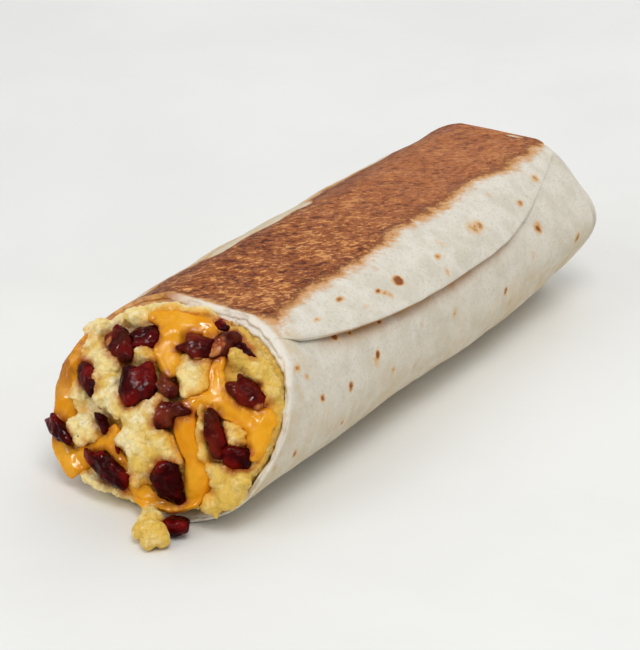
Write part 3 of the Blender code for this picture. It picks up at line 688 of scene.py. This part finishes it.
def flourFinish():
    finish, tree, shader = startFinish(
        "toastedTortilla", 0.62, Subsurface_Weight=0.06, Subsurface_Scale=0.002, Specular_IOR_Level=0.2
    )
    place = objectPlace(tree)
    shader.inputs["Subsurface Radius"].default_value = (1.0, 0.6, 0.3)
    parts = tree.nodes.new("ShaderNodeSeparateXYZ")
    tree.links.new(place, parts.inputs[0])
    across, along, height = parts.outputs
    cream = plainSheet(tree, place, across, height)
    uneven = spread(tree, cloudy(tree, place, 130, 4, 0.6), 0.3, 0.6, 0.45, 1.0)
    under = maths(tree, "MULTIPLY", marked(tree, "under"), uneven)
    cream = blendColours(tree, under, cream, flour["shade"])
    # toast spots: golden where weak, brown where strong
    toast = marked(tree, "toast")
    ragged = maths(tree, "SUBTRACT", cloudy(tree, place, 560, 4, 0.65), 0.5)
    level = maths(tree, "ADD", toast, maths(tree, "MULTIPLY", ragged, maths(tree, "MULTIPLY", toast, 2.2)))
    colour = blendColours(tree, spread(tree, level, 0.08, 0.55), cream, flour["spotGolden"])
    colour = blendColours(tree, spread(tree, level, 0.34, 0.8), colour, flour["spotBrown"])
    # the patch the grill browned: wrinkles drawn out across the roll
    streaked = stretched(tree, place, turn=(0, 0, math.radians(50)), scale=(1.7, 1, 1))
    wrinkle = cloudy(tree, streaked, 560, 4, 0.7, 0.6)
    flakes = cloudy(tree, streaked, 1250, 2, 0.6, 0.3)
    broad = cloudy(tree, place, 80, 3, 0.6)
    tone = maths(tree, "ADD", maths(tree, "MULTIPLY", wrinkle, 0.5), maths(tree, "MULTIPLY", flakes, 0.34))
    tone = maths(tree, "ADD", tone, maths(tree, "MULTIPLY", broad, 0.16))
    crease = useGroup(tree, folds, Place=streaked, Scale=330, Width=0.035)
    tone = maths(tree, "SUBTRACT", tone, maths(tree, "MULTIPLY", maths(tree, "SUBTRACT", crease, 0.35), 0.05))
    brown = grilledSheet(tree, across, along, tone)
    fray = maths(tree, "MULTIPLY", maths(tree, "SUBTRACT", cloudy(tree, place, 150, 5, 0.6, 0.4), 0.5), 6.5)
    fine = maths(tree, "MULTIPLY", maths(tree, "SUBTRACT", tone, 0.5), 8.0)
    frayed = maths(tree, "ADD", maths(tree, "ADD", marked(tree, "browning"), fray), fine)
    brown = blendColours(tree, spread(tree, frayed, 1.2, 4.5, 0.38, 0.0), brown, flour["darkBrown"])
    colour = blendColours(tree, spread(tree, frayed, -3.2, 0.2, 0.0, 0.95), colour, flour["golden"])
    colour = blendColours(tree, spread(tree, frayed, -0.2, 1.3), colour, brown)
    # the torn rim, greasy and stained at the upper left
    rim = spread(tree, marked(tree, "rim"), 0.0, 1.4, 0.85, 0.0)
    leftSide, raised = spread(tree, across, -0.002, -0.012), spread(tree, height, 0.014, 0.026)
    stained = maths(tree, "MULTIPLY", leftSide, raised)
    blotches = spread(tree, cloudy(tree, place, 230, 4, 0.65), 0.4, 0.62)
    grease = blendColours(tree, blotches, flour["rimStain"], flour["rimGrease"])
    tanned = spread(tree, cloudy(tree, place, 260, 3, 0.6), 0.54, 0.68, 0.0, 0.4)
    rimColour = blendColours(tree, tanned, flour["rimWhite"], flour["tan"])
    rimColour = blendColours(tree, stained, rimColour, grease)
    colour = blendColours(tree, rim, colour, rimColour)
    tree.links.new(colour, shader.inputs["Base Color"])
    # floury grain on the plain sheet, wrinkles in the browned patch
    grain = useGroup(tree, lumpy, **{"Place": place, "Coarse": 300.0, "Fine": 1500.0, "Fine share": 0.45})
    mixed = tree.nodes.new("ShaderNodeMix")
    joined(tree, spread(tree, frayed, -0.5, 1.5), mixed.inputs[0])
    joined(tree, maths(tree, "MULTIPLY", grain, 0.6), mixed.inputs[2])
    joined(tree, maths(tree, "MULTIPLY", tone, 2.6), mixed.inputs[3])
    bumped(tree, shader, mixed.outputs[0], 0.6, 0.0006)
    wet = useGroup(tree, wetness, Place=place, Scale=300, Wet=0.5, Dry=0.7)
    tree.links.new(wet, shader.inputs["Roughness"])
    return finish


tortilla = rollTortilla()
dress(tortilla, flourFinish())
print("tortilla rolled:", len(tortilla.data.polygons), "faces")


# the filling

filling = {
    "halfWidth": 29.7 * mm,
    "halfHeight": 18.9 * mm,
    "middle": 21 * mm,
    "eggVoxel": 0.38 * mm,
    "eggFrontDepth": 34 * mm,
    "eggBillow": 0.6 * mm,
    "eggToLip": 1.7 * mm,
    "eggWider": 0.5 * mm,
    "spillVoxel": 0.28 * mm,
    "cheeseVoxel": 0.38 * mm,
    "cheeseSwell": 0.34 * mm,
    "cheeseFlatten": 0.75 * mm,
    "baconSwell": 0.3 * mm,
    "baconCrinkle": 0.42 * mm,
    # nothing that lies on the table goes through it
    "floor": 0.02 * mm,
    # how far cheese colours the egg beside it, and how far bacon fat and painted shade brown the egg and the
    # cheese round each bit
    "cheeseReach": 3.4 * mm,
    "greaseReach": 2.3 * mm,
}
mouthFace = Vector((0, -1, roll["mouthLean"])).normalized()

# what differs between bacon bits: fat as (across, up, radius), in mm from the middle, and browned lean
baconBits = {
    1: {"fat": (-3.4, 0.6, 0.9), "brown": 0.15},
    3: {"fat": (1.5, -1.8, 0.8), "brown": 0.3},
    4: {"fat": (-0.2, 0.4, 1.9), "brown": 0.4},
    9: {"brown": 0.7},
    10: {"fat": (4.4, -3.0, 1.9), "brown": 0.25},
    11: {"brown": 0.5},
    12: {"brown": 0.8},
    14: {"brown": 0.2},
}


def billow(place, size):
    return abs(noise.noise(place / size)) * 2 - 0.5


def curdAmount(co):
    # the ruffles of a curd: how far out its surface goes
    soft = 0.6 * billow(co, 3.6 * mm) + 0.4 * billow(co + Vector((1, 0, 0)), 1.9 * mm)
    crumbs = 0.18 * noise.noise(co / (0.8 * mm)) + 0.26 * billow(co, 1.2 * mm)
    return filling["eggBillow"] * soft + crumbs * mm + 0.18 * mm


def lipShare(co):
    # how near a place in the mouth is to the lip round it
    across = abs(co.x / filling["halfWidth"])
    up = abs((co.z - filling["middle"]) / filling["halfHeight"])
    out = across ** roll["roundness"] + up ** roll["roundness"]
    behind = co.y - roll["front"] - roll["mouthLean"] * co.z
    return ease((out - 0.68) / 0.25) * (1 - ease((behind - 2 * mm) / (6 * mm)))


def makeEgg():
    back = copyOfNode("scrambled_egg", "eggBehind")
    front = copyOfNode("scrambled_egg", "scrambledEgg")
    cutAt = roll["front"] + filling["eggFrontDepth"]
    for part, keepFront in ((front, True), (back, False)):
        pickOnly(part)
        bpy.ops.object.mode_set(mode="EDIT")
        bpy.ops.mesh.select_all(action="SELECT")
        bpy.ops.mesh.bisect(
            plane_co=(0, cutAt, 0),
            plane_no=(0, 1, 0),
            use_fill=True,
            clear_outer=keepFront,
            clear_inner=not keepFront,
        )
        bpy.ops.object.mode_set(mode="OBJECT")
    finishWith(front, "REMESH", mode="VOXEL", voxel_size=filling["eggVoxel"])
    finishWith(front, "SMOOTH", factor=0.5, iterations=3)
    # the egg fills the mouth up to the lip
    for vert in front.data.vertices:
        outward = Vector((vert.co.x, 0, vert.co.z - filling["middle"])).normalized()
        vert.co += (mouthFace * filling["eggToLip"] + outward * filling["eggWider"]) * lipShare(vert.co)
    moveOut(front, lambda co, normal: curdAmount(co) * ease((cutAt - co.y) / (5 * mm)))
    pickOnly(front)
    back.select_set(True)
    bpy.ops.object.join()
    return front


def makeCheese():
    piece = copyOfNode("melted_cheese", "meltedCheese")
    finishWith(piece, "REMESH", mode="VOXEL", voxel_size=filling["cheeseVoxel"])
    finishWith(piece, "SMOOTH", factor=0.5, iterations=6)
    piece.data.update()
    for vert in piece.data.vertices:
        vert.co += mouthFace * filling["eggToLip"] * 0.8 * lipShare(vert.co)

    def settle(co, normal):
        # swells sideways and settles flatter on the egg
        facing = max(0.0, normal.dot(mouthFace))
        wavy = 0.22 * mm * noise.noise(co / (3 * mm)) + 0.1 * mm * noise.noise(co / (1.3 * mm))
        return filling["cheeseSwell"] + wavy - filling["cheeseFlatten"] * facing ** 3

    moveOut(piece, settle)
    return piece


def makeSpilledCurd():
    piece = copyOfNode("spilled_curd", "spilledCurd")
    finishWith(piece, "REMESH", mode="VOXEL", voxel_size=filling["spillVoxel"])
    finishWith(piece, "SMOOTH", factor=0.5, iterations=3)
    moveOut(piece, lambda co, normal: curdAmount(co) * 0.7 - 0.15 * mm)
    for vert in piece.data.vertices:
        vert.co.z = max(vert.co.z, filling["floor"])
    return piece


def makeBacon(number):
    piece = copyOfNode(f"bacon_{number:02d}", f"baconBit{number:02d}")
    finishWith(piece, "SUBSURF", subdivision_type="SIMPLE", levels=3, render_levels=3)
    finishWith(piece, "SMOOTH", factor=0.5, iterations=8)
    shift = Vector((number * 3.1, 0, 0)) * mm

    def crinkle(co, normal):
        rough = noise.noise((co + shift) / (2.1 * mm)) + 0.3 * noise.noise((co + shift) / (0.9 * mm))
        return filling["baconCrinkle"] * rough + filling["baconSwell"]

    moveOut(piece, crinkle)
    middle = sum((vert.co for vert in piece.data.vertices), Vector()) / len(piece.data.vertices)
    bit = baconBits.get(number, {})
    acrossFat, upFat, radius = bit.get("fat", (0, 0, 0))
    fat = []
    for vert in piece.data.vertices:
        vert.co.z = max(vert.co.z, filling["floor"])
        away = math.hypot(vert.co.x - middle.x - acrossFat * mm, vert.co.z - middle.z - upFat * mm)
        fat.append(ease(1.5 - away / (radius * mm)) if radius else 0.0)
    piece.data.attributes.new("fat", "FLOAT", "POINT").data.foreach_set("value", fat)
    brown = [bit.get("brown", 0.0)] * len(fat)
    piece.data.attributes.new("brown", "FLOAT", "POINT").data.foreach_set("value", brown)
    return piece


def makeSliver():
    # a sliver of bacon between two curds, finer than the bits of the CAD
    place = Vector((-4.4, -84.4, 14.9)) * mm
    bpy.ops.mesh.primitive_ico_sphere_add(subdivisions=4, radius=1 * mm, location=place)
    piece = bpy.context.object
    piece.name = piece.data.name = "baconSliver"
    bpy.ops.object.transform_apply(location=True, rotation=False, scale=False)
    bpy.ops.object.mode_set(mode="EDIT")
    bpy.ops.mesh.select_all(action="SELECT")
    bpy.ops.transform.resize(value=(0.55, 0.6, 1.3))
    bpy.ops.transform.rotate(value=math.radians(12), orient_axis="Y")
    bpy.ops.object.mode_set(mode="OBJECT")
    moveOut(piece, lambda co, normal: 0.25 * mm * noise.noise(co / (0.7 * mm)))
    return piece


def markNear(piece, name, others, reach):
    # an attribute that is 1 where the piece touches one of the others and 0 from reach on
    places, faces = [], []
    for other in others:
        start = len(places)
        places += [vert.co for vert in other.data.vertices]
        faces += [[start + corner for corner in face.vertices] for face in other.data.polygons]
    surface = BVHTree.FromPolygons(places, faces)
    levels = []
    for vert in piece.data.vertices:
        away = surface.find_nearest(vert.co, reach)[3]
        levels.append(0.0 if away is None else ease(1 - away / reach))
    piece.data.attributes.new(name, "FLOAT", "POINT").data.foreach_set("value", levels)


eggColours = {
    "yolky": display(226, 187, 86),
    "pale": display(240, 217, 148),
    "white": display(247, 236, 196),
    # crease: painted shade in the creases of the curds
    "crease": display(194, 144, 52),
    "speck": display(64, 48, 28),
    "cheesy": display(232, 171, 64),
    # greasy: bacon fat, and painted shade beside the bacon bits
    "greasy": display(176, 98, 40),
}


def eggFinish():
    finish, tree, shader = startFinish(
        "softScrambledEgg", 0.4, Subsurface_Weight=0.12, Subsurface_Scale=0.0015, Specular_IOR_Level=0.09
    )
    shader.inputs["Subsurface Radius"].default_value = (1.0, 0.75, 0.35)
    place = objectPlace(tree)
    parts = tree.nodes.new("ShaderNodeSeparateXYZ")
    tree.links.new(place, parts.inputs[0])
    across = parts.outputs[0]
    # yellower towards the right of the mouth, paler towards the left
    yolkier = spread(tree, across, -0.02, 0.022, -0.08, 0.13)
    yolky = maths(tree, "ADD", cloudy(tree, place, 140, 4, 0.55, 0.3), yolkier)
    colour = blendColours(tree, spread(tree, yolky, 0.42, 0.62), eggColours["pale"], eggColours["yolky"])
    whiter = spread(tree, across, 0.022, -0.01, 0.2, 0.75)
    whites = maths(tree, "MULTIPLY", spread(tree, cloudy(tree, place, 260, 4, 0.6), 0.48, 0.64), whiter)
    colour = blendColours(tree, whites, colour, eggColours["white"])
    # painted shade: darker yellow in the creases between the soft folds
    crease = useGroup(tree, folds, Place=place, Scale=380, Width=0.05)
    colour = blendColours(tree, maths(tree, "MULTIPLY", crease, 0.26), colour, eggColours["crease"])
    # melted cheese and bacon fat soak into the edges of the curds; the brown beside the bacon is painted
    # shade in part
    soaked = spread(tree, cloudy(tree, place, 300, 3, 0.6), 0.36, 0.58, 0.25, 1.3)
    cheesy = maths(tree, "MULTIPLY", marked(tree, "cheesy"), soaked)
    colour = blendColours(tree, maths(tree, "MULTIPLY", cheesy, 0.95), colour, eggColours["cheesy"])
    greasy = maths(tree, "MULTIPLY", marked(tree, "greasy"), soaked)
    colour = blendColours(tree, maths(tree, "MULTIPLY", greasy, 0.85), colour, eggColours["greasy"])
    pepper = useGroup(tree, specks, Place=place, Scale=520, Size=0.2, Amount=0.045)
    colour = blendColours(tree, maths(tree, "MULTIPLY", pepper, 0.8), colour, eggColours["speck"])
    tree.links.new(colour, shader.inputs["Base Color"])
    height = useGroup(tree, lumpy, **{"Place": place, "Coarse": 560.0, "Fine": 1700.0, "Fine share": 0.5})
    height = maths(tree, "SUBTRACT", height, maths(tree, "MULTIPLY", crease, 0.12))
    bumped(tree, shader, height, 0.62, 0.0006)
    wet = useGroup(tree, wetness, Place=place, Scale=240, Wet=0.26, Dry=0.55)
    tree.links.new(wet, shader.inputs["Roughness"])
    return finish


cheeseColours = {
    "deep": display(224, 146, 16),
    "bright": display(239, 170, 38),
    # toasted: painted shade on the cheese against the upper left of the wall
    "toasted": display(164, 96, 36),
    # greasy: bacon fat, and painted shade beside the bacon bits
    "greasy": display(174, 88, 28),
}


def cheeseFinish():
    finish, tree, shader = startFinish(
        "meltedCheddar", 0.2, Subsurface_Weight=0.12, Subsurface_Scale=0.002, Specular_IOR_Level=0.085
    )
    shader.inputs["Subsurface Radius"].default_value = (1.0, 0.5, 0.15)
    place = objectPlace(tree)
    parts = tree.nodes.new("ShaderNodeSeparateXYZ")
    tree.links.new(place, parts.inputs[0])
    across, height = parts.outputs[0], parts.outputs[2]
    deep, bright = cheeseColours["deep"], cheeseColours["bright"]
    colour = useGroup(tree, mottle, Place=place, Scale=130, Low=0.35, High=0.65, Under=deep, Over=bright)
    # painted shade: the cheese is painted brown where it lies against the upper left of the wall
    leftSide, raised = spread(tree, across, -0.018, -0.027), spread(tree, height, 0.014, 0.026)
    wallShade = maths(tree, "MULTIPLY", leftSide, raised)
    blotchy = maths(tree, "MULTIPLY", spread(tree, cloudy(tree, place, 210, 4, 0.6), 0.35, 0.6), 0.85)
    colour = blendColours(tree, maths(tree, "MULTIPLY", wallShade, blotchy), colour, cheeseColours["toasted"])
    # bacon fat browns the cheese round each bit, and this brown is painted shade beside the bits as well
    soaked = spread(tree, cloudy(tree, place, 320, 3, 0.6), 0.36, 0.58, 0.3, 1.3)
    greasy = maths(tree, "MULTIPLY", marked(tree, "greasy"), soaked)
    colour = blendColours(tree, maths(tree, "MULTIPLY", greasy, 0.8), colour, cheeseColours["greasy"])
    tree.links.new(colour, shader.inputs["Base Color"])
    waves = useGroup(tree, lumpy, **{"Place": place, "Coarse": 260.0, "Fine": 900.0, "Fine share": 0.25})
    bumped(tree, shader, waves, 0.3, 0.0006)
    wet = useGroup(tree, wetness, Place=place, Scale=260, Wet=0.16, Dry=0.4)
    tree.links.new(wet, shader.inputs["Roughness"])
    return finish


baconColours = {
    "lean": (display(46, 1, 2), display(110, 12, 8)),
    "browned": (display(72, 16, 12), display(132, 62, 36)),
    "fat": (display(150, 66, 34), display(208, 136, 78)),
}


def baconMottle(tree, place, name, scale, low, high):
    dark, light = baconColours[name]
    return useGroup(tree, mottle, Place=place, Scale=scale, Low=low, High=high, Under=dark, Over=light)


def baconFinish():
    finish, tree, shader = startFinish("crispBacon", 0.12, Specular_IOR_Level=0.045)
    place = objectPlace(tree)
    lean = baconMottle(tree, place, "lean", 170, 0.42, 0.68)
    browned = baconMottle(tree, place, "browned", 240, 0.38, 0.66)
    colour = blendColours(tree, marked(tree, "brown"), lean, browned)
    fraying = maths(tree, "SUBTRACT", cloudy(tree, place, 480, 3, 0.6), 0.5)
    fat = maths(tree, "ADD", marked(tree, "fat"), maths(tree, "MULTIPLY", fraying, 1.2))
    fatColour = baconMottle(tree, place, "fat", 500, 0.4, 0.6)
    colour = blendColours(tree, spread(tree, fat, 0.2, 1.0, 0.0, 0.85), colour, fatColour)
    tree.links.new(colour, shader.inputs["Base Color"])
    height = useGroup(tree, lumpy, **{"Place": place, "Coarse": 480.0, "Fine": 1300.0, "Fine share": 0.2})
    bumped(tree, shader, height, 0.8, 0.0006)
    wet = useGroup(tree, wetness, Place=place, Scale=420, Wet=0.06, Dry=0.2)
    tree.links.new(wet, shader.inputs["Roughness"])
    return finish


eggCooked, cheeseMelted, baconCrisped = eggFinish(), cheeseFinish(), baconFinish()
bacon = [makeBacon(number) for number in range(1, 20)]
bacon.append(makeSliver())
for bit in bacon:
    dress(bit, baconCrisped)
print("bacon crisped")
cheese = makeCheese()
markNear(cheese, "greasy", bacon, filling["greaseReach"])
dress(cheese, cheeseMelted)
print("cheese:", len(cheese.data.polygons), "faces")
for curds in (makeEgg(), makeSpilledCurd()):
    markNear(curds, "cheesy", [cheese], filling["cheeseReach"])
    markNear(curds, "greasy", bacon, filling["greaseReach"])
    dress(curds, eggCooked)
    print("egg:", len(curds.data.polygons), "faces")


# studio: pale table, soft light from the upper left, camera

studio = {
    "table": {"Under": display(240, 240, 237), "Over": display(234, 234, 231)},
    "camera": (0.33009, -0.49846, 0.29170),
    "cameraTurn": (65.1388, 0.4638, 33.6608),
    "lens": 143.524,
    # place, size, power and colour of each softbox; all are aimed at the roll
    "lights": (
        ("key", (0.7, -0.6, 2.0), 1.1, 19.0, (1.0, 0.99, 0.965)),
        ("fill", (-1.0, -1.5, 1.3), 1.4, 8.0, (0.98, 0.99, 1.0)),
        ("back", (0.0, 1.8, 1.6), 1.5, 10.0, (1.0, 1.0, 1.0)),
        ("sparkle", (-0.34, -0.58, 0.74), 0.12, 16.0, (1.0, 0.99, 0.97)),
    ),
    "sky": 0.52,
    "skyColour": (0.97, 0.98, 1.0, 1),
}

bpy.ops.mesh.primitive_plane_add(size=4, location=(0, 0, 0))
table = bpy.context.object
table.name = "table"
tableFinish, tree, shader = startFinish("paleTable", 0.55)
place = objectPlace(tree)
clouded = useGroup(tree, mottle, Place=place, Scale=9, Low=0.3, High=0.7, **studio["table"])
tree.links.new(clouded, shader.inputs["Base Color"])
table.data.materials.append(tableFinish)

for name, spot, size, power, colour in studio["lights"]:
    bpy.ops.object.light_add(type="AREA", location=spot)
    lamp = bpy.context.object
    lamp.name = name
    lamp.data.size = size
    lamp.data.energy = power
    lamp.data.color = colour
    # the small lamp only glints on what is wet
    lamp.visible_diffuse = name != "sparkle"
    lamp.rotation_euler = (Vector((0, 0, 0.02)) - Vector(spot)).to_track_quat("-Z", "Y").to_euler()

world = bpy.data.worlds.new("softRoom")
bpy.context.scene.world = world
world.use_nodes = True
sky = world.node_tree.nodes["Background"].inputs
sky["Color"].default_value = studio["skyColour"]
sky["Strength"].default_value = studio["sky"]

cameraTurn = [math.radians(turn) for turn in studio["cameraTurn"]]
bpy.ops.object.camera_add(location=studio["camera"], rotation=cameraTurn)
camera = bpy.context.object
camera.data.sensor_width = 36
camera.data.lens = studio["lens"]
camera.data.clip_start = 0.01
bpy.context.scene.camera = camera
bpy.context.scene.view_settings.view_transform = "Standard"
print("studio ready")
